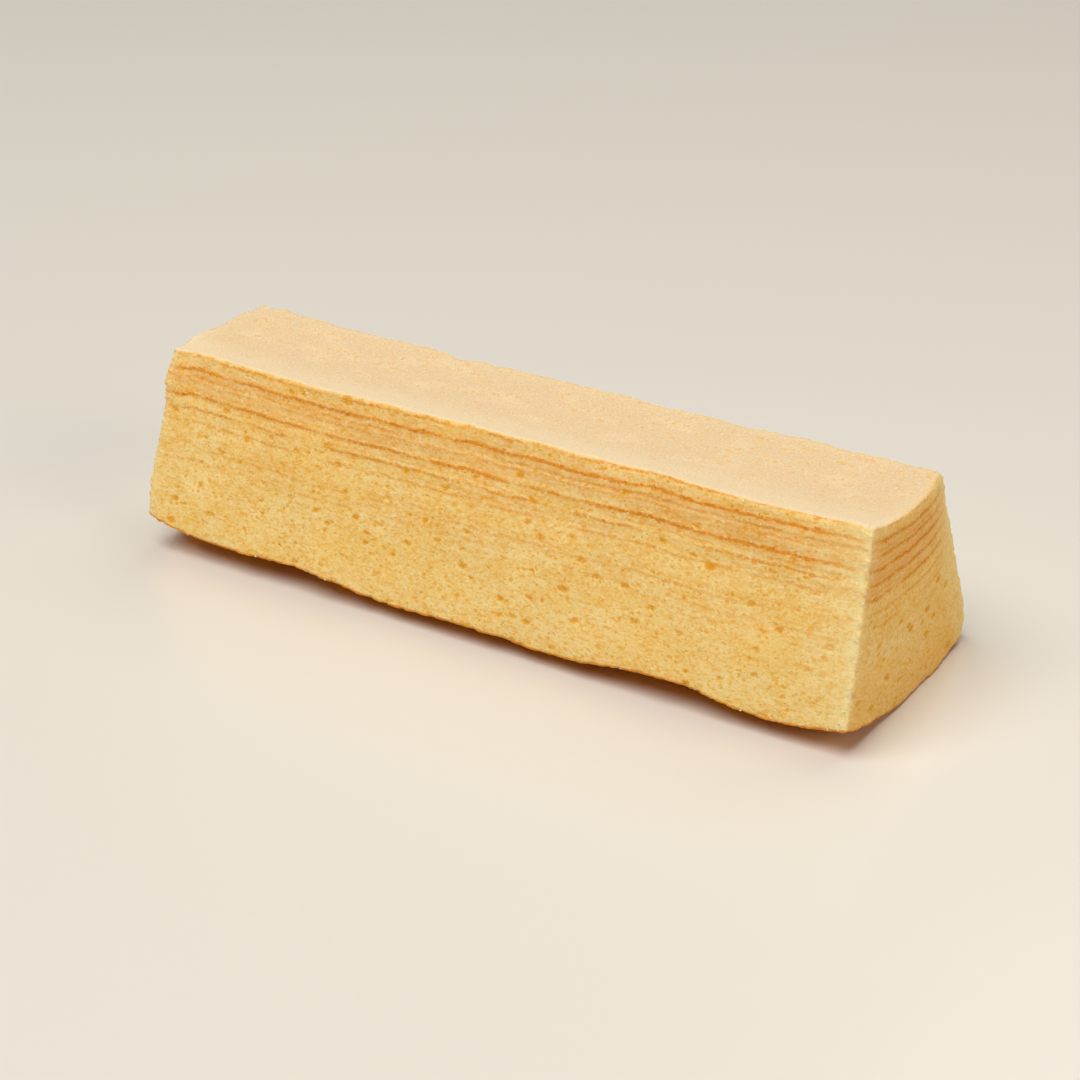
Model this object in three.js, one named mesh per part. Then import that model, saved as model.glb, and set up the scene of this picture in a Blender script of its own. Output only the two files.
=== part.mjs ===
// Sliced baumkuchen: one bar cut from a ring of cake that was baked round a spit in
// thin layers. Four knife cuts free it from the ring, two along the sides and one at
// each end. It lies on its baked outer crust, with the pale skin of the ring's hole
// on top, so every section is a sector of the ring with its narrow end up.
//
// Millimetres, +X along the bar, +Y to the back and +Z up. The origin is the middle
// of the footprint, at the height of the surface that the bar lies on.

import * as THREE from 'three';
import { mergeVertices } from 'three/addons/utils/BufferGeometryUtils.js';

// ---- Size of the bar and of the ring that it was cut from ----

const BAR_LENGTH = 150;
const CAKE_DEPTH = 36.9; // skin to crust, halfway across
const SKIN_RADIUS = 42.4; // concave, on top
const SKIN_HALF_WIDTH_FRONT = 14.3;
const SKIN_HALF_WIDTH_BACK = 13.1;
const CRUST_RADIUS = 90; // convex, underneath
const CRUST_HALF_WIDTH_FRONT = 25.6;
const CRUST_HALF_WIDTH_BACK = 25.1;
const SETTLING = 1.3; // how far the crust is flattened where it lies

// ---- Unevenness of the bar as a whole ----

const LEFT_END_LEAN = 0.012; // the foot of the left end is set back by this slope
const RIGHT_END_LEAN = 0.075; // the foot of the right end stands out by this slope
const RIGHT_END_SKEW = 0.016; // the back of the right end stands out by this slope
const BACK_EDGE_FLARE = 0.6; // the skin is wider at the back near both ends
const BACK_EDGE_TAPER = 0.45; // and narrower at the right end than in the middle
const SHORT_WAVE = { length: 38.5, height: 1.0, lowAt: 56 }; // waves of the crust,
const LONG_WAVE = { length: 80, height: 1.4, lowAt: 74 }; // lowAt from the left end
const LEFT_END_RISE = { height: 2.8, length: 46 }; // the crust curls up at the left
const RIGHT_END_TWIST = { height: 1.8, length: 22 }; // and up in front at the right
const LEFT_SKIN_RISE = { height: 1.0, length: 22 }; // the skin lifts at the left
const LEFT_SKIN_SWELL = { height: 1.0, length: 20 }; // more so halfway across

// ---- Relief of the surfaces ----

const CRUST_LUMP_SIZE = 11;
const CRUST_LUMP_HEIGHT = 0.35;
const SKIN_DIMPLE_SIZE = 9;
const SKIN_DIMPLE_DEPTH = 0.35;
const CUT_RIPPLE_SIZE = 7;
const CUT_RIPPLE_HEIGHT = 0.5;
const CRAG_SIZE = 3.4; // crumbling along the edges, of both surfaces that meet there
const CRAG_DEPTH_BACK_EDGE = 0.73; // long edge at the back of the skin
const CRAG_DEPTH = 0.33; // all the other edges
const LAYER_THICKNESS = 2.42;
const LINED_LAYERS = 5; // layers whose browned lines show as grooves
const GROOVE_DEPTH = 0.3;

// Bites and dents: middle of each as x, y, z, with its reach and its depth
const CHIPS = [
  { at: [49, 12.5, 38], reach: 3.5, depth: 0.6 },
  { at: [57, 12.2, 38], reach: 2.5, depth: 0.8 },
  { at: [151, 4, 0.5], reach: 4, depth: 0.4 },
  { at: [149, 17, 19], reach: 3, depth: 0.8 },
  { at: [151, 27.5, 4], reach: 5, depth: 1.2 },
  { at: [0, -25, 4], reach: 5, depth: 0.6 },
  { at: [0, -14, 40], reach: 7, depth: 0.9 },
  { at: [0, 14, 39.5], reach: 6, depth: 1.0 },
];

// ---- Fineness of the mesh ----

const STATIONS_ALONG = 70;
const STATIONS_ACROSS = 16;
const STATIONS_BELOW_LAYERS = 6; // in the plain sponge between the lines and the crust
const CLOSE = 1e-4; // places this close together count as one

const NOISE_SEED = 7;

// Repeatable random number from 0 to 1 for one point of a whole-number lattice
function latticeValue(i, j, k) {
  const wave = Math.sin(i * 127.1 + j * 311.7 + k * 74.7 + NOISE_SEED) * 43758.5453;
  return wave - Math.floor(wave);
}

// Smooth random relief from -1 to 1, with lumps of about the given size
function relief(point, size) {
  const cell = point.clone().divideScalar(size);
  const base = cell.clone().floor();
  const part = cell.sub(base);
  const ease = (t) => t * t * (3 - 2 * t);
  let sum = 0;
  for (const dx of [0, 1]) {
    for (const dy of [0, 1]) {
      for (const dz of [0, 1]) {
        const weightX = dx ? ease(part.x) : 1 - ease(part.x);
        const weightY = dy ? ease(part.y) : 1 - ease(part.y);
        const weightZ = dz ? ease(part.z) : 1 - ease(part.z);
        const value = latticeValue(base.x + dx, base.y + dy, base.z + dz);
        sum += value * weightX * weightY * weightZ;
      }
    }
  }
  return 2 * sum - 1;
}

// From 1 at the very end down to 0 at the given distance from it
function endFade(distance, length) {
  return Math.max(0, 1 - distance / length) ** 2;
}

// Depths of the browned lines below the skin
function layerLines() {
  const lines = [];
  for (let layer = 1; layer <= LINED_LAYERS; layer++) {
    lines.push(layer * LAYER_THICKNESS);
  }
  return lines;
}

// Depths below the skin at which the mesh has a row of points, from crust to skin.
// Each lined layer has one row at its middle and one in the groove at its foot.
function rowDepths() {
  const rows = [0];
  for (const line of layerLines()) {
    const above = rows[rows.length - 1];
    rows.push((above + line) / 2, line);
  }
  const lastLine = rows[rows.length - 1];
  for (let step = 1; step <= STATIONS_BELOW_LAYERS; step++) {
    rows.push(lastLine + ((CAKE_DEPTH - lastLine) * step) / STATIONS_BELOW_LAYERS);
  }
  return rows.reverse();
}

// Point of an arc whose lowest point is at the given height, by its place across
function arcPoint(across, front, back, radius, lowest) {
  const angleFront = -Math.asin(front / radius);
  const angleBack = Math.asin(back / radius);
  const angle = THREE.MathUtils.lerp(angleFront, angleBack, across);
  return new THREE.Vector2(
    radius * Math.sin(angle),
    lowest + radius * (1 - Math.cos(angle)),
  );
}

// Height of one of the crust's waves above its low points
function waveRise(x, wave) {
  const phase = (2 * Math.PI * (x - wave.lowAt)) / wave.length;
  return (wave.height / 2) * (1 - Math.cos(phase));
}

// Rise of the crust above its lowest line, at a distance from the left end
function crustRise(x) {
  const waves = waveRise(x, SHORT_WAVE) + waveRise(x, LONG_WAVE);
  const leftRise = LEFT_END_RISE.height * endFade(x, LEFT_END_RISE.length);
  return waves + leftRise;
}

// Lift of the front of the crust near the right end, where the back sinks as much
function crustTwist(x, across) {
  const fade = endFade(BAR_LENGTH - x, RIGHT_END_TWIST.length);
  return RIGHT_END_TWIST.height * fade * (1 - 2 * across);
}

// Lift of the skin near the left end
function skinRise(x, across) {
  const overall = LEFT_SKIN_RISE.height * endFade(x, LEFT_SKIN_RISE.length);
  const swell = LEFT_SKIN_SWELL.height * endFade(x, LEFT_SKIN_SWELL.length);
  return overall + swell * (1 - (2 * across - 1) ** 2);
}

// Smooth form of the bar, before its relief. along runs from the left end to the
// right, across from the front cut to the back one, and depth down from the skin.
function barPoint(along, across, depth) {
  const x = along * BAR_LENGTH;
  const fromMiddle = Math.abs(2 * along - 1);
  const flare = BACK_EDGE_FLARE * fromMiddle ** 3;
  const taper = BACK_EDGE_TAPER * (1 - 2 * along);
  const backHalfWidth = SKIN_HALF_WIDTH_BACK + flare + taper;
  const skin = arcPoint(
    across,
    SKIN_HALF_WIDTH_FRONT,
    backHalfWidth,
    SKIN_RADIUS,
    CAKE_DEPTH + skinRise(x, across),
  );
  const crust = arcPoint(
    across,
    CRUST_HALF_WIDTH_FRONT,
    CRUST_HALF_WIDTH_BACK,
    CRUST_RADIUS,
    crustRise(x) + crustTwist(x, across),
  );
  const section = skin.lerp(crust, depth / CAKE_DEPTH);
  const belowMiddle = CAKE_DEPTH / 2 - section.y;
  const leftShift = LEFT_END_LEAN * belowMiddle;
  const rightShift = RIGHT_END_LEAN * belowMiddle + RIGHT_END_SKEW * section.x;
  const shift = THREE.MathUtils.lerp(leftShift, rightShift, along);
  return new THREE.Vector3(x + shift, section.x, section.y);
}

// Step of one into the cake from each of the surfaces that a point lies on
function inwardStep(onEnd, onCut, onRind) {
  return new THREE.Vector3(-onEnd, -onCut, -onRind);
}

// The bar with its relief. onEnd, onCut and onRind are -1 or 1 where the point lies
// on the left or right end, on the front or back cut, and on the crust or skin.
function roughen(point, depth, onEnd, onCut, onRind) {
  const moved = point.clone();
  if (onRind < 0) {
    moved.z += CRUST_LUMP_HEIGHT * relief(point, CRUST_LUMP_SIZE);
  }
  if (onRind > 0) {
    moved.z += SKIN_DIMPLE_DEPTH * relief(point, SKIN_DIMPLE_SIZE);
  }
  if (onEnd !== 0 || onCut !== 0) {
    const ripple = CUT_RIPPLE_HEIGHT * relief(point, CUT_RIPPLE_SIZE);
    const groove = layerLines().some((line) => Math.abs(line - depth) < CLOSE);
    const pushIn = ripple + (groove ? GROOVE_DEPTH : 0);
    moved.addScaledVector(inwardStep(onEnd, onCut, 0), pushIn);
  }
  const surfaces = Math.abs(onEnd) + Math.abs(onCut) + Math.abs(onRind);
  if (surfaces > 1) {
    const isBackEdge = onCut > 0 && onRind > 0;
    const deepest = isBackEdge ? CRAG_DEPTH_BACK_EDGE : CRAG_DEPTH;
    const crag = (deepest / 2) * (1 + relief(point, CRAG_SIZE));
    moved.addScaledVector(inwardStep(onEnd, onCut, onRind), crag);
  }
  for (const chip of CHIPS) {
    const away = point.distanceTo(new THREE.Vector3(...chip.at)) / chip.reach;
    if (away < 1) {
      const push = chip.depth * (1 - away * away);
      moved.addScaledVector(inwardStep(onEnd, onCut, onRind), push);
    }
  }
  return moved;
}

// -1 at the low side of a range from 0 to 1, 1 at its high side, 0 between them
function sideOf(fraction) {
  if (fraction < CLOSE) {
    return -1;
  }
  return fraction > 1 - CLOSE ? 1 : 0;
}

// The bar starts as the gridded surface of a unit box, whose points are then placed
function barGeometry() {
  const depths = rowDepths();
  const rows = depths.length - 1;
  const geometry = new THREE.BoxGeometry(1, 1, 1, STATIONS_ALONG, STATIONS_ACROSS, rows);
  geometry.deleteAttribute('normal');
  geometry.deleteAttribute('uv');
  const position = geometry.getAttribute('position');
  for (let index = 0; index < position.count; index++) {
    const along = position.getX(index) + 0.5;
    const across = position.getY(index) + 0.5;
    const height = position.getZ(index) + 0.5;
    const depth = depths[Math.round(height * rows)];
    const smooth = barPoint(along, across, depth);
    const rough = roughen(smooth, depth, sideOf(along), sideOf(across), sideOf(height));
    const settled = Math.max(0, rough.z - SETTLING);
    position.setXYZ(index, rough.x, rough.y, settled);
  }
  const closed = mergeVertices(geometry, CLOSE);
  closed.computeBoundingBox();
  const middle = closed.boundingBox.getCenter(new THREE.Vector3());
  closed.translate(-middle.x, -middle.y, 0);
  closed.computeVertexNormals();
  return closed;
}

const sponge = new THREE.MeshStandardMaterial({
  color: 0xe6b467,
  roughness: 0.85,
  metalness: 0,
});

const bar = new THREE.Mesh(barGeometry(), sponge);
bar.name = 'baumkuchen_bar';

const baumkuchen = new THREE.Group();
baumkuchen.add(bar);

export default baumkuchen;
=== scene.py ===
"""Looks of a sliced baumkuchen, a bar cut from a layered ring cake.

The bar lies on its baked crust with the pale skin of the ring's hole on top. Its form
is the modelled solid's. A fine mesh is laid over that solid here, and gets the open
pores and the crumbling edges of the cake. The same formulas then colour it, so that the
colours of the pores and layer lines follow the relief: the pores are painted a deeper
amber, darkest in the middles of the large ones, as painted shade in their dents, and the
fine grain is painted amber in its dips and pale on its crests, as painted shade and
painted highlight. Loose crumbs are a piece of their own.

Lengths are in metres, apart from the ring coordinates, which are in millimetres and
say so. Colours are given as the red, green and blue of a picture, from 0 to 255.
"""

import math

import bmesh
import bpy
import numpy as np
from mathutils import Matrix, Vector
from mathutils.bvhtree import BVHTree


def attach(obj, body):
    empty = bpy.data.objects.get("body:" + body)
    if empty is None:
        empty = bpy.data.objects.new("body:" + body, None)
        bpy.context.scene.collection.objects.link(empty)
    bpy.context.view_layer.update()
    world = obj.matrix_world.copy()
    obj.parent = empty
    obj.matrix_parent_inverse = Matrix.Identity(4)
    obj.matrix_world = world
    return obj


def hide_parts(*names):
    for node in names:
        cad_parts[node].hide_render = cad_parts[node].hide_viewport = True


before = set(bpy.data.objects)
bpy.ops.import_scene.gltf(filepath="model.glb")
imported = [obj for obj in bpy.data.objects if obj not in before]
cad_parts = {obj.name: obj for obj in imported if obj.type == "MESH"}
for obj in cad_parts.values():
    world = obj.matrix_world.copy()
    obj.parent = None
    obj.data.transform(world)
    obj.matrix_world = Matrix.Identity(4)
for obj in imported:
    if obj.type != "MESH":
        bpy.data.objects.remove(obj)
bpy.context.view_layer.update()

MM = 0.001
BAR = "baumkuchen_bar"

# ---- The ring that the bar was cut from, in millimetres ----

RING_AXIS_HEIGHT = 78.0
MIDDLE_RADIUS = 60.0  # arcs are measured here, between skin and crust

LAYER = 2.45  # thickness of one baked layer
FIRST_LINE = 0.6  # depth of the uppermost line, straight under the skin
LINE_STRENGTHS = (  # how strongly the browned foot of each layer shows, from the skin down
    0.5, 0.9, 0.35, 1.0, 0.5, 0.35, 0.15, 0.3, 0.25, 0.12, 0.1, 0.08, 0.06, 0.06, 0.06, 0.06,
)
END_STRENGTHS = (  # the same on the ends, where the layers show more
    0.55, 0.85, 0.7, 1.0, 0.65, 0.7, 0.35, 0.3, 0.2, 0.15, 0.1, 0.08, 0.06, 0.06, 0.06, 0.06,
)
FAINT_STRENGTHS = (  # the same for the fainter lines partway down each layer
    0.1, 0.2, 0.4, 0.28, 0.28, 0.24, 0.16, 0.24, 0.18, 0.12, 0.1, 0.08, 0.06, 0.06, 0.06, 0.06,
)
FAINT_LINE_OFFSET = 0.42  # how far above the strong lines they lie, in layers
LAYER_WANDER = 0.45  # how far the layers rise and fall along the bar
LAYER_WANDER_LOWEST = -30.0
LAYER_WANDER_HALF_LENGTH = 105.0

# ---- Heights of the relief, in millimetres ----

CRUMB_LUMPS = 0.26
SKIN_LUMPS = 0.24
CRUST_LUMPS = 0.3
LARGE_PORE_DEPTH = 0.14
SMALL_PORE_DEPTH = 0.03
CRUMBLING_DEPTH = 0.32
CRUMBLING_WIDTH = 1.3  # how far in from a sharp edge it crumbles

# The same of the detail that is finer than the mesh
GRAIN_HEIGHT = 0.1
MORE_SKIN_GRAIN = 0.06
FIBRE_HEIGHT = 0.05
FINE_PORE_DEPTH = 0.04

# ---- Fineness of the mesh ----

VOXEL = 0.47 * MM
MOST_TRIANGLES = 196_000
SHARP_EDGE = math.radians(38)
JOINED = 0.01 * MM  # points nearer than this are one

# How far the normals of a region's faces lie along the bar or up, at least or at most
END_NORMAL = 0.7
SKIN_NORMAL = 0.8
CRUST_NORMAL = -0.5

# ---- Colours ----

SPONGE_LIGHT = (251, 220, 148)
SPONGE_YELLOW = (249, 212, 130)
SPONGE_GOLD = (244, 195, 98)
SPONGE_AMBER = (240, 178, 62)
BROWNED_SPONGE = (242, 190, 120)
LINE_BROWN = (224, 142, 34)
LINE_DARK = (204, 116, 12)
LINE_HAZE = (238, 170, 84)
# The next two colours are painted shade: the deeper amber of the pores and of their middles
PORE_SHADE_AMBER = (238, 170, 40)
PORE_BOTTOM_SHADE = (224, 146, 18)
CRUMB_PALE = (253, 232, 184)
CORNER_PALE = (253, 230, 164)
SKIN_PEACH = (221, 194, 153)
SKIN_CREAM = (235, 215, 176)
SKIN_SPECKLE = (226, 174, 102)
CRUST_GOLD = (246, 160, 46)
CRUST_BROWN = (230, 128, 24)
# painted warm shade at the foot of the ends, toward the crust
END_FOOT_SHADE = (238, 170, 56)
FLOOR = (224, 220, 210)

SPONGE_GLOW = 1.2 * MM  # how far light spreads inside
CRUMB_GLOW = 0.4 * MM
CRUMB_SHINE = 0.1  # of the cake and of loose crumbs alike

# ---- Camera and light ----

CAMERA_PLACE = Vector((0.20296, -0.32493, 0.20646))
CAMERA_HEADING = math.radians(32.02)
CAMERA_DOWN = math.radians(27.10)
CAMERA_ROLL = math.radians(-0.22)
CAMERA_LENS = 76.57
SENSOR_WIDTH = 36.0

LIGHTS = (  # name, place, width, power and colour
    ("main light", (-0.35, -0.8, 2.0), 1.8, 49.0, (1.0, 1.0, 1.0)),
    ("light behind", (0.1, 1.4, 1.9), 1.4, 16.0, (1.0, 0.94, 0.86)),
    ("light at right", (1.6, -0.1, 0.8), 1.0, 8.5, (1.0, 0.82, 0.62)),
)
SKY = (1.0, 0.95, 0.88, 1.0)
SKY_STRENGTH = 0.05
FLOOR_RADIUS = 12.0

# ---- Loose crumbs ----

CRUMBS = 1400
CRUMB_SEED = 11
LEAST_CRUMB = 0.1 * MM  # radius
MOST_CRUMB = 0.32 * MM
SMALL_CRUMBS = 5  # the higher, the more of them are small
CRUMB_SUNK = 0.35  # how deep a crumb sits in the cake, in radii
LOWEST_CRUMB = 1.5 * MM


def linear(colour):
    """The linear colour, with alpha, of a picture's red, green and blue."""
    channels = [c / 255 for c in colour]
    curve = [c / 12.92 if c <= 0.04045 else ((c + 0.055) / 1.055) ** 2.4 for c in channels]
    return (*curve, 1.0)


# ---- Formulas written as nodes ----


class Value:
    """The output of a node, which plain arithmetic turns into further nodes."""

    def __init__(self, graph, socket):
        self.graph = graph
        self.socket = socket

    def __add__(self, other):
        return self.graph.math("ADD", self, other)

    def __radd__(self, other):
        return self.graph.math("ADD", other, self)

    def __sub__(self, other):
        return self.graph.math("SUBTRACT", self, other)

    def __rsub__(self, other):
        return self.graph.math("SUBTRACT", other, self)

    def __mul__(self, other):
        return self.graph.math("MULTIPLY", self, other)

    def __rmul__(self, other):
        return self.graph.math("MULTIPLY", other, self)

    def __truediv__(self, other):
        return self.graph.math("DIVIDE", self, other)


class Graph:
    """Builds a node tree from formulas. Shader and geometry trees take the same ones."""

    def __init__(self, tree):
        self.tree = tree
        tree.nodes.clear()

    def node(self, kind, inputs=None, **settings):
        made = self.tree.nodes.new(kind)
        for name, value in settings.items():
            setattr(made, name, value)
        for key, value in (inputs or {}).items():
            if isinstance(value, Value):
                self.tree.links.new(value.socket, made.inputs[key])
            elif isinstance(value, bpy.types.NodeSocket):
                self.tree.links.new(value, made.inputs[key])
            else:
                made.inputs[key].default_value = value
        return made

    def value(self, kind, inputs=None, output=0, **settings):
        return Value(self, self.node(kind, inputs, **settings).outputs[output])

    def math(self, operation, *values):
        return self.value("ShaderNodeMath", dict(enumerate(values)), operation=operation)

    def attribute(self, name):
        """A vector that the mesh stores at its points."""
        if self.tree.type == "GEOMETRY":
            kind = "GeometryNodeInputNamedAttribute"
            return self.value(kind, {"Name": name}, "Attribute", data_type="FLOAT_VECTOR")
        return self.value("ShaderNodeAttribute", output="Vector", attribute_name=name)

    def parts(self, vector):
        split = self.node("ShaderNodeSeparateXYZ", {0: vector})
        return [Value(self, socket) for socket in split.outputs]

    def joined(self, x, y, z):
        return self.value("ShaderNodeCombineXYZ", {0: x, 1: y, 2: z})

    def divided(self, vector, sizes):
        """The vector in units of the three given sizes."""
        return self.value("ShaderNodeVectorMath", {0: vector, 1: sizes}, operation="DIVIDE")

    def noise(self, vector, detail=2.0, output=0):
        """Smooth noise from 0 to 1, with lumps about one unit across."""
        inputs = {"Vector": vector, "Scale": 1.0, "Detail": detail, "Roughness": 0.55}
        return self.value("ShaderNodeTexNoise", inputs, output)

    def shaken(self, vector, size, reach):
        """The vector moved at random by up to about the reach."""
        random_part = self.noise(self.divided(vector, (size,) * 3), 1.0, "Color")
        shift = {0: random_part, 1: (0.5,) * 3}
        centred = self.value("ShaderNodeVectorMath", shift, operation="SUBTRACT")
        doubled = {0: centred, 1: (2 * reach,) * 3, 2: vector}
        return self.value("ShaderNodeVectorMath", doubled, operation="MULTIPLY_ADD")

    def step(self, value, start, end, low=0.0, high=1.0):
        """Smooth step from low to high as the value goes from start to end."""
        inputs = {"Value": value, "From Min": start, "From Max": end}
        inputs |= {"To Min": low, "To Max": high}
        return self.value("ShaderNodeMapRange", inputs, interpolation_type="SMOOTHSTEP")

    def listed(self, index, values):
        """The entry of a list of numbers from 0 to 1, by its index."""
        ramp = self.node("ShaderNodeValToRGB", {0: (index + 0.5) / len(values)})
        ramp.color_ramp.interpolation = "CONSTANT"
        stops = ramp.color_ramp.elements
        while len(stops) < len(values):
            stops.new(1.0)
        for place, entry in enumerate(values):
            stops[place].position = place / len(values)
            stops[place].color = (entry, entry, entry, 1.0)
        return Value(self, ramp.outputs["Color"])

    def mix(self, share, first, second):
        """Colour between two others, which are colours 0 to 255 or earlier results."""
        first, second = (c if isinstance(c, Value) else linear(c) for c in (first, second))
        inputs = {0: share, 6: first, 7: second}
        return self.value("ShaderNodeMix", inputs, 2, data_type="RGBA")


# ---- What the cake is like at a point. ring holds the place along the bar, the arc
# ---- across it and the depth below the skin; edges the distances to the nearest end,
# ---- side cut and crust. All are in millimetres.


class Crumb:
    """The fields that both the relief and the colours of the cake are made from."""

    def __init__(self, graph):
        """Shares from 0 to 1 of each region, and distances to the edges between them."""
        self.g = g = graph
        self.ring = g.attribute("ring")
        self.along, self.arc, self.depth = g.parts(self.ring)
        self.end, self.side, self.crust = g.parts(g.attribute("edges"))
        self.on_skin = g.step(self.depth, 0.3, 0.08)
        self.on_crust = g.step(self.crust, 0.6, 0.25)
        self.cut = (1.0 - self.on_skin) * (1.0 - self.on_crust)
        self.rim = g.math("MINIMUM", self.end, self.side)
        self.corner = g.math("MAXIMUM", self.end, self.side)
        self.on_end = g.step(self.end, 0.5, 0.1)

    def pores(self, cell, least, most):
        """From 0 on whole crumb to 1 in the middle of a pore. The radii are in cells."""
        g = self.g
        bent = g.shaken(g.shaken(self.ring, 1.3, 0.5), 0.5, 0.2)
        found = g.node("ShaderNodeTexVoronoi", {"Vector": g.divided(bent, cell), "Scale": 1.0})
        distance = Value(g, found.outputs["Distance"])
        chance = g.parts(found.outputs["Color"])[0]
        radius = least + (most - least) * g.math("POWER", chance, 3.0)
        share = distance / radius
        return g.math("MAXIMUM", 1.0 - share * share, 0.0)

    def large_pores(self):
        return self.pores((3.0, 3.0, 1.8), 0.09, 0.48) * self.cut

    def small_pores(self):
        return self.pores((1.2, 1.2, 0.75), 0.2, 0.5) * self.cut

    def strengths(self, layer):
        """How strongly a layer's line shows, which is more on the ends of the bar."""
        g = self.g
        on_sides = g.listed(layer, LINE_STRENGTHS)
        more = g.listed(layer, END_STRENGTHS) - on_sides
        return on_sides + more * self.on_end

    def faint_strengths(self, layer):
        return self.g.listed(layer, FAINT_STRENGTHS)

    def line_set(self, depth, strengths, seed):
        """Browned lines at whole numbers of layers: their thin cores and their haze."""
        g = self.g
        layer = g.math("ROUND", depth / LAYER)
        fine = g.noise(g.divided(self.ring, (0.8, 0.8, 0.5)), 2.0)
        away = g.math("ABSOLUTE", depth - layer * LAYER) + (fine - 0.5) * 0.7
        tracks = g.joined(self.along / 12.0, self.arc / 12.0, layer * 5.0 + seed)
        patches = g.step(g.noise(tracks), 0.3, 0.52)
        strength = strengths(layer)
        dots = g.step(fine, 0.62, 0.4, 0.5, 1.0)
        core = g.step(away, 0.5, 0.05) * dots * (patches * 0.7 + 0.3)
        haze = g.step(away, 1.3, 0.1) * (patches * 0.8 + 0.2)
        return core * strength, haze * strength

    def lines(self):
        """Browning of the layer lines from 0 to 1, thin cores first, then their haze."""
        g = self.g
        turn = (self.along - LAYER_WANDER_LOWEST) * (math.pi / LAYER_WANDER_HALF_LENGTH)
        slow = g.math("COSINE", turn) * LAYER_WANDER
        waves = g.noise(g.divided(self.ring, (16.0, 16.0, 40.0)), 1.0) - 0.5
        ripples = g.noise(g.divided(self.ring, (2.6, 2.6, 5.0))) - 0.5
        depth = self.depth - FIRST_LINE - slow - waves * 0.9 - ripples * 0.5
        core, haze = self.line_set(depth, self.strengths, 0.0)
        shifted = depth + LAYER * FAINT_LINE_OFFSET
        faint, faint_haze = self.line_set(shifted, self.faint_strengths, 2.3)
        both = g.math("MAXIMUM", core, faint) * self.cut
        return both, g.math("MAXIMUM", haze, faint_haze) * self.cut

    def fibres(self):
        """Short streaks that run with the layers, from 0 to 1."""
        return self.g.noise(self.g.divided(self.ring, (1.6, 1.6, 0.6)), 3.0)

    def grain(self):
        """The finest crumb, from 0 to 1."""
        return self.g.noise(self.g.divided(self.ring, (0.55, 0.55, 0.38)), 1.0)

    def crumbling(self):
        """From 0 away from the sharp edges to 1 on them, in bites about 1 mm across."""
        g = self.g
        on_side = g.math("MINIMUM", self.corner, self.depth)
        to_edge = g.math("MINIMUM", on_side, self.crust) * self.cut + self.rim * (1.0 - self.cut)
        bites = g.noise(g.divided(self.ring, (1.1, 1.1, 1.1)), 2.0)
        return g.step(to_edge, CRUMBLING_WIDTH, 0.0) * g.step(bites, 0.42, 0.72)


def relief(crumb):
    """Height of the surface above the smooth form, in millimetres."""
    g = crumb.g
    lumps = g.noise(g.divided(crumb.ring, (1.5, 1.5, 1.2)), 3.0) - 0.5
    skin_lumps = g.noise(g.divided(crumb.ring, (2.2, 2.2, 2.2)), 3.0) - 0.5
    crust_lumps = g.noise(g.divided(crumb.ring, (1.9, 1.9, 1.9)), 3.0) - 0.5
    height = lumps * CRUMB_LUMPS * crumb.cut
    height = height + skin_lumps * SKIN_LUMPS * crumb.on_skin
    height = height + crust_lumps * CRUST_LUMPS * crumb.on_crust
    height = height - crumb.large_pores() * LARGE_PORE_DEPTH
    height = height - crumb.small_pores() * SMALL_PORE_DEPTH
    return height - crumb.crumbling() * CRUMBLING_DEPTH


# ---- The cake's mesh ----


def evaluated(piece, name):
    """The piece's mesh with its modifiers, which it then has no more."""
    depsgraph = bpy.context.evaluated_depsgraph_get()
    mesh = bpy.data.meshes.new_from_object(piece.evaluated_get(depsgraph))
    mesh.name = name
    piece.modifiers.clear()
    piece.data = mesh
    return mesh


def welded(solid):
    """A copy of a solid's mesh with its shared points joined and its sharp edges held."""
    shape = bmesh.new()
    shape.from_mesh(solid.data)
    bmesh.ops.remove_doubles(shape, verts=shape.verts, dist=JOINED)
    crease = shape.edges.layers.float.new("crease_edge")
    for edge in shape.edges:
        if edge.is_manifold and edge.calc_face_angle() > SHARP_EDGE:
            edge[crease] = 1.0
    mesh = bpy.data.meshes.new("welded")
    shape.to_mesh(mesh)
    shape.free()
    return mesh


def regions_of(mesh):
    """Search trees for the skin, the crust, the ends and the side cuts of the bar."""
    corners = [tuple(vertex.co) for vertex in mesh.vertices]
    faces = {"skin": [], "crust": [], "end": [], "side": []}
    for face in mesh.polygons:
        normal = face.normal
        if abs(normal.x) > END_NORMAL:
            region = "end"
        elif normal.z > SKIN_NORMAL:
            region = "skin"
        elif normal.z < CRUST_NORMAL:
            region = "crust"
        else:
            region = "side"
        faces[region].append(tuple(face.vertices))
    return {region: BVHTree.FromPolygons(corners, faces[region]) for region in faces}


def nearest(tree, points):
    """The nearest place of a region to each point, and the distance in millimetres."""
    found = [tree.find_nearest(point) for point in points]
    places = np.array([tuple(place) for place, _, _, _ in found])
    return places, np.array([distance for _, _, _, distance in found]) / MM


def snapped(points, found):
    """The points moved onto the nearest region, so that the sharp edges stay sharp."""
    distances = np.stack([distance for _, distance in found.values()])
    places = np.stack([place for place, _ in found.values()])
    return places[distances.argmin(0), np.arange(len(points))]


def store(mesh, name, columns):
    """Stores three numbers a point in the mesh."""
    values = np.stack(columns, 1).astype(np.float32)
    mesh.attributes.new(name, "FLOAT_VECTOR", "POINT").data.foreach_set("vector", values.ravel())


def places_of(mesh):
    """The mesh's points, a row each."""
    places = np.zeros(len(mesh.vertices) * 3, np.float32)
    mesh.vertices.foreach_get("co", places)
    return places.reshape(-1, 3)


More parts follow.
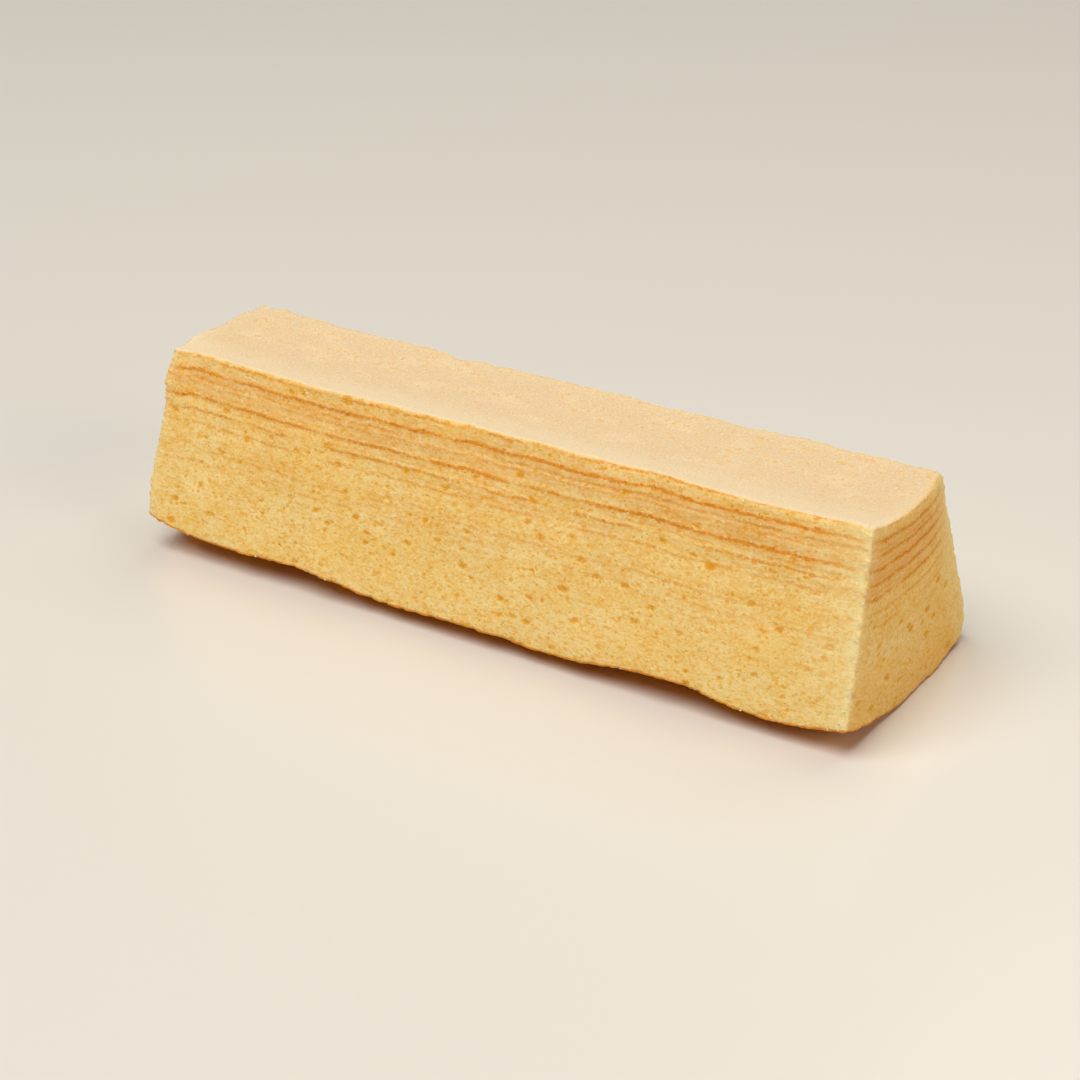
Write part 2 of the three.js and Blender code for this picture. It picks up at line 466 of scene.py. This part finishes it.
def add_relief(piece):
    """Moves the piece's points along its normals by the height of the relief."""
    tree = bpy.data.node_groups.new("cake relief", "GeometryNodeTree")
    tree.interface.new_socket("Geometry", in_out="INPUT", socket_type="NodeSocketGeometry")
    tree.interface.new_socket("Geometry", in_out="OUTPUT", socket_type="NodeSocketGeometry")
    g = Graph(tree)
    height = relief(Crumb(g)) * MM
    source = g.node("NodeGroupInput")
    normal = g.value("GeometryNodeInputNormal")
    offset = g.value("ShaderNodeVectorMath", {0: normal, "Scale": height}, operation="SCALE")
    moved = g.node("GeometryNodeSetPosition", {"Geometry": source.outputs[0], "Offset": offset})
    g.node("NodeGroupOutput", {0: moved.outputs[0]})
    piece.modifiers.new("relief", "NODES").node_group = tree


def make_cake():
    """The cake as a fine mesh over the modelled solid, which knows how far its edges are."""
    cake = bpy.data.objects.new("cake", welded(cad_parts[BAR]))
    bpy.context.scene.collection.objects.link(cake)
    rounding = cake.modifiers.new("rounding", "SUBSURF")
    rounding.levels = rounding.render_levels = 1
    regions = regions_of(evaluated(cake, "smooth solid"))

    remesh = cake.modifiers.new("fine mesh", "REMESH")
    remesh.mode = "VOXEL"
    remesh.voxel_size = VOXEL
    mesh = evaluated(cake, "cake")
    points = places_of(mesh)
    found = {name: nearest(tree, points) for name, tree in regions.items()}
    points = snapped(points, found)
    mesh.vertices.foreach_set("co", points.astype(np.float32).ravel())
    near = {name: distance for name, (_, distance) in found.items()}
    arc = np.arctan2(points[:, 1] / MM, RING_AXIS_HEIGHT - points[:, 2] / MM) * MIDDLE_RADIUS
    store(mesh, "ring", [points[:, 0] / MM, arc, near["skin"]])
    store(mesh, "edges", [near["end"], near["side"], near["crust"]])

    add_relief(cake)
    mesh = evaluated(cake, "cake")
    triangles = sum(len(face.vertices) - 2 for face in mesh.polygons)
    thinner = cake.modifiers.new("thinner", "DECIMATE")
    thinner.ratio = min(1.0, MOST_TRIANGLES / triangles)
    mesh = evaluated(cake, "cake")
    points = places_of(mesh)
    points[:, 2] = np.maximum(points[:, 2], 0.0)
    mesh.vertices.foreach_set("co", points.ravel())
    mesh.shade_smooth()
    mesh.materials.clear()
    mesh.materials.append(cake_material())
    return cake


# ---- Materials ----


def sponge_colour(crumb):
    """Colour of the cut cake."""
    g = crumb.g
    broad = g.noise(g.divided(crumb.ring, (14.0, 14.0, 6.0)), 2.0)
    clouds = g.noise(g.divided(crumb.ring, (3.2, 3.2, 2.0)), 3.0)
    blobs = g.noise(g.divided(crumb.ring, (1.3, 1.3, 0.7)), 2.0)
    grain = crumb.grain()
    core, haze = crumb.lines()
    colour = g.mix(g.step(broad, 0.38, 0.62), SPONGE_YELLOW, SPONGE_LIGHT)
    colour = g.mix(g.step(clouds, 0.44, 0.7) * 0.45, colour, SPONGE_GOLD)
    reached = crumb.depth + broad * 3.0 - crumb.on_end * 4.0
    browned = g.step(reached, 11.5, 7.0) * g.step(crumb.depth, 1.6, 3.2)
    browned = browned * g.step(clouds, 0.32, 0.64, 0.35, 0.95) * (crumb.on_end * 0.3 + 0.8)
    colour = g.mix(g.math("MINIMUM", browned, 1.0), colour, BROWNED_SPONGE)
    hazy = g.step(clouds, 0.35, 0.6, 0.3, 0.9)
    colour = g.mix(g.math("MAXIMUM", hazy, crumb.on_end * 0.8) * haze, colour, LINE_HAZE)
    colour = g.mix(g.step(blobs, 0.51, 0.67) * 0.65, colour, SPONGE_AMBER)
    colour = g.mix(g.step(crumb.fibres(), 0.5, 0.7) * 0.35, colour, SPONGE_GOLD)
    colour = g.mix(g.step(core, 0.03, 0.6) * 0.9, colour, LINE_BROWN)
    knots = crumb.pores((1.7, 1.7, 0.9), 0.12, 0.42) * haze
    dark = g.math("MAXIMUM", g.step(core * blobs, 0.36, 0.58), g.step(knots, 0.1, 0.5))
    colour = g.mix(dark * 0.75, colour, LINE_DARK)
    # Painted shade: the pores are painted a deeper amber than the crumb, and the middles of the
    # large pores darker still, where the relief dents them.
    large = crumb.large_pores()
    colour = g.mix(g.step(crumb.small_pores(), 0.0, 0.7) * 0.75, colour, PORE_SHADE_AMBER)
    colour = g.mix(g.step(large, 0.0, 0.7) * 0.85, colour, PORE_SHADE_AMBER)
    colour = g.mix(g.step(large, 0.45, 1.0) * 0.6, colour, PORE_BOTTOM_SHADE)
    # Painted warm shade: the ends are painted a darker amber toward the crust at their foot.
    colour = g.mix(crumb.on_end * g.step(crumb.crust, 14.0, 2.0) * 0.38, colour, END_FOOT_SHADE)
    at_back = g.step(crumb.arc, 0.0, 6.0)
    to_corner = g.math("MAXIMUM", crumb.end, crumb.side * (3.0 - at_back * 1.6))
    at_right = g.step(crumb.along, -40.0, 40.0)
    paler = g.step(to_corner + clouds * 8.0, 16.0, 4.0) * at_right
    colour = g.mix(paler * (at_back * 0.2 + 0.4), colour, CORNER_PALE)
    corner = g.step(to_corner + clouds * 5.0, 5.4, 2.6) * (at_right * 0.6 + 0.4)
    colour = g.mix(corner * 0.75, colour, CORNER_PALE)
    under_skin = g.step(crumb.depth + blobs * 0.9, 1.0, 0.5)
    colour = g.mix(under_skin * 0.35, colour, SKIN_CREAM)
    # Painted shade and painted highlight: the fine grain, which is also the bump, is painted
    # amber in its dips and pale on its crests.
    colour = g.mix(g.step(grain, 0.46, 0.3) * 0.4, colour, SPONGE_AMBER)
    crest_highlight = g.step(grain, 0.5, 0.76) * (corner * 0.5 + 0.5)
    return g.mix(crest_highlight * g.step(core, 0.4, 0.05, 0.25, 1.0), colour, CRUMB_PALE)


def skin_colour(crumb):
    """Colour of the pale skin on top."""
    g = crumb.g
    broad = g.noise(g.divided(crumb.ring, (11.0, 8.0, 9.0)), 2.0)
    blotches = g.noise(g.divided(g.shaken(crumb.ring, 2.0, 0.8), (1.2, 1.7, 1.5)), 3.0)
    fine = g.noise(g.divided(crumb.ring, (0.5, 0.5, 0.5)), 2.0)
    # Painted light and painted shade: the skin is painted creamier toward the front and more
    # speckled toward the back, for how the light falls across its hollow; the cream rim band
    # itself is the skin's own colour.
    edge = g.step(crumb.rim + broad * 3.0, 6.0, 1.5) * g.step(crumb.arc, 4.0, -10.0, 0.2, 0.8)
    front_painted_light = g.step(crumb.arc + broad * 6.0, 2.0, -13.0) * 0.7
    cream_and_front_light = g.math("MAXIMUM", g.math("MAXIMUM", edge, front_painted_light), g.step(broad, 0.45, 0.7) * 0.4)
    colour = g.mix(cream_and_front_light, SKIN_PEACH, SKIN_CREAM)
    back_painted_shade = g.step(crumb.arc, -14.0, 10.0, 0.35, 1.0)
    speckles = g.step(blotches + broad * 0.3, 0.68, 0.88) * back_painted_shade * (1.0 - edge * 0.8)
    colour = g.mix(speckles * 0.85, colour, SKIN_SPECKLE)
    colour = g.mix(g.step(fine, 0.5, 0.28) * (1.0 - edge * 0.6) * 0.4, colour, SKIN_SPECKLE)
    colour = g.mix(g.step(fine, 0.5, 0.74) * 0.45, colour, CRUMB_PALE)
    golden = g.step(crumb.rim + blotches * 1.2, 1.6, 0.6)
    golden = golden * g.step(crumb.arc, -12.0, 4.0, 0.1, 0.35)
    return g.mix(golden, colour, SPONGE_GOLD)


def crust_colour(crumb):
    """Colour of the baked crust underneath."""
    g = crumb.g
    blotches = g.noise(g.divided(crumb.ring, (6.0, 6.0, 6.0)), 4.0)
    pits = g.noise(g.divided(crumb.ring, (0.9, 0.9, 0.9)), 2.0)
    colour = g.mix(g.step(blotches, 0.35, 0.7), CRUST_GOLD, CRUST_BROWN)
    return g.mix(g.step(pits, 0.55, 0.75) * 0.5, colour, SPONGE_GOLD)


def fine_relief(crumb):
    """Height of the detail that is finer than the mesh, in millimetres."""
    grain = crumb.grain() * (crumb.on_skin * MORE_SKIN_GRAIN + GRAIN_HEIGHT)
    fibres = crumb.fibres() * FIBRE_HEIGHT * crumb.cut
    return grain + fibres - crumb.small_pores() * FINE_PORE_DEPTH


def surface(name, **settings):
    """A new material, its graph and its shader, whose fixed inputs are given."""
    material = bpy.data.materials.new(name)
    material.use_nodes = True
    g = Graph(material.node_tree)
    shader = g.node("ShaderNodeBsdfPrincipled")
    for words, value in settings.items():
        shader.inputs[words.replace("_", " ")].default_value = value
    g.node("ShaderNodeOutputMaterial", {"Surface": shader.outputs[0]})
    return material, g, shader


def cake_material():
    material, g, shader = surface(
        "sponge cake",
        Specular_IOR_Level=CRUMB_SHINE,
        Subsurface_Weight=0.35,
        Subsurface_Scale=SPONGE_GLOW,
        Subsurface_Radius=(1.0, 0.65, 0.4),
    )
    crumb = Crumb(g)
    colour = g.mix(crumb.on_skin, sponge_colour(crumb), skin_colour(crumb))
    colour = g.mix(crumb.on_crust, colour, crust_colour(crumb))
    bump = {"Height": fine_relief(crumb), "Distance": MM, "Strength": 0.9}
    links = g.tree.links
    links.new(colour.socket, shader.inputs["Base Color"])
    links.new(g.value("ShaderNodeBump", bump).socket, shader.inputs["Normal"])
    rough = g.step(crumb.grain(), 0.3, 0.7, 0.78, 0.94)
    links.new(rough.socket, shader.inputs["Roughness"])
    return material


def crumb_material():
    material, g, shader = surface(
        "loose crumb",
        Roughness=0.9,
        Specular_IOR_Level=CRUMB_SHINE,
        Subsurface_Weight=0.6,
        Subsurface_Scale=CRUMB_GLOW,
        Subsurface_Radius=(1.0, 0.8, 0.6),
    )
    place = g.value("ShaderNodeTexCoord", output="Object")
    toasting = g.noise(g.divided(place, (1.5 * MM,) * 3))
    colour = g.mix(g.step(toasting, 0.4, 0.7), CRUMB_PALE, SPONGE_LIGHT)
    grain = g.noise(g.divided(place, (0.15 * MM,) * 3))
    bump = {"Height": grain, "Distance": 0.02 * MM, "Strength": 0.6}
    g.tree.links.new(colour.socket, shader.inputs["Base Color"])
    g.tree.links.new(g.value("ShaderNodeBump", bump).socket, shader.inputs["Normal"])
    return material


def floor_material():
    settings = {"Base_Color": linear(FLOOR), "Roughness": 0.3, "Specular_IOR_Level": 0.5}
    material, _, _ = surface("pale floor", **settings)
    return material


# ---- Loose crumbs ----


def vectors_of(mesh, name):
    """What store() stored, a row for each of the three numbers."""
    values = np.zeros(len(mesh.vertices) * 3, np.float32)
    mesh.attributes[name].data.foreach_get("vector", values)
    return values.reshape(-1, 3).T


def crumb_shares(mesh):
    """How likely a crumb is to stick at each point of the cake: mostly at its edges."""
    _, arc, depth = vectors_of(mesh, "ring")
    end, side, crust = vectors_of(mesh, "edges")
    corner = np.maximum(end, side * 2.0)
    rim = np.minimum(end, side)
    skin_edge = np.maximum(depth, rim)
    shares = 0.01 + 0.7 * np.exp(-corner / 0.9) + 0.08 * np.exp(-np.maximum(crust, rim) / 0.5)
    shares += np.where(arc > 0, 0.4, 0.08) * np.exp(-skin_edge / 0.4)
    shares[(depth < 0.5) & (rim > 1.5)] = 0.001
    shares[places_of(mesh)[:, 2] < LOWEST_CRUMB] = 0.0
    return shares / shares.sum()


def ball():
    """Corners and triangles of a small ball of radius 1."""
    shape = bmesh.new()
    bmesh.ops.create_icosphere(shape, subdivisions=2, radius=1.0)
    corners = np.array([tuple(vertex.co) for vertex in shape.verts])
    faces = np.array([[vertex.index for vertex in face.verts] for face in shape.faces])
    shape.free()
    return corners, faces


def make_crumbs(cake):
    """The loose crumbs as one mesh of small uneven balls that stick in the cake."""
    mesh = cake.data
    chance = np.random.default_rng(CRUMB_SEED)
    chosen = chance.choice(len(mesh.vertices), CRUMBS, replace=False, p=crumb_shares(mesh))
    corners, faces = ball()
    points = []
    for index in chosen:
        vertex = mesh.vertices[int(index)]
        share = chance.random() ** SMALL_CRUMBS
        radius = LEAST_CRUMB + (MOST_CRUMB - LEAST_CRUMB) * share
        sizes = radius * chance.uniform(0.6, 1.25, 3)
        bumps = chance.uniform(0.65, 1.2, (len(corners), 1))
        turned = (corners * sizes * bumps) @ np.linalg.qr(chance.normal(size=(3, 3)))[0]
        centre = vertex.co - vertex.normal * (radius * CRUMB_SUNK)
        points.append(turned + np.array(centre))
    triangles = np.concatenate([faces + place * len(corners) for place in range(CRUMBS)])
    crumb_mesh = bpy.data.meshes.new("crumbs")
    crumb_mesh.from_pydata(np.concatenate(points), [], triangles.tolist())
    crumb_mesh.shade_smooth()
    crumb_mesh.materials.append(crumb_material())
    crumbs = bpy.data.objects.new("crumbs", crumb_mesh)
    bpy.context.scene.collection.objects.link(crumbs)
    return crumbs


# ---- Stage ----


def make_floor():
    shape = bmesh.new()
    bmesh.ops.create_circle(shape, cap_ends=True, segments=96, radius=FLOOR_RADIUS)
    mesh = bpy.data.meshes.new("floor")
    shape.to_mesh(mesh)
    shape.free()
    mesh.materials.append(floor_material())
    floor = bpy.data.objects.new("floor", mesh)
    bpy.context.scene.collection.objects.link(floor)


def add_light(name, place, size, power, colour):
    """A square soft light that faces the cake."""
    light = bpy.data.lights.new(name, "AREA")
    light.size = size
    light.energy = power
    light.color = colour
    lamp = bpy.data.objects.new(name, light)
    lamp.location = place
    lamp.rotation_euler = (-Vector(place)).to_track_quat("-Z", "Y").to_euler()
    bpy.context.scene.collection.objects.link(lamp)


def make_light():
    for light in LIGHTS:
        add_light(*light)
    world = bpy.data.worlds.new("studio")
    world.use_nodes = True
    background = world.node_tree.nodes["Background"]
    background.inputs["Color"].default_value = SKY
    background.inputs["Strength"].default_value = SKY_STRENGTH
    scene = bpy.context.scene
    scene.world = world
    scene.view_settings.view_transform = "Standard"


def make_camera():
    lens = bpy.data.cameras.new("camera")
    lens.sensor_width = SENSOR_WIDTH
    lens.lens = CAMERA_LENS
    camera = bpy.data.objects.new("camera", lens)
    heading = Matrix.Rotation(CAMERA_HEADING, 4, "Z")
    tilt = Matrix.Rotation(math.pi / 2 - CAMERA_DOWN, 4, "X")
    roll = Matrix.Rotation(CAMERA_ROLL, 4, "Z")
    camera.matrix_world = Matrix.Translation(CAMERA_PLACE) @ heading @ tilt @ roll
    bpy.context.scene.collection.objects.link(camera)
    bpy.context.scene.camera = camera


make_camera()
make_light()
make_floor()

cake = make_cake()
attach(cake, "root")
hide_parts(BAR)

crumbs = make_crumbs(cake)
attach(crumbs, "root")
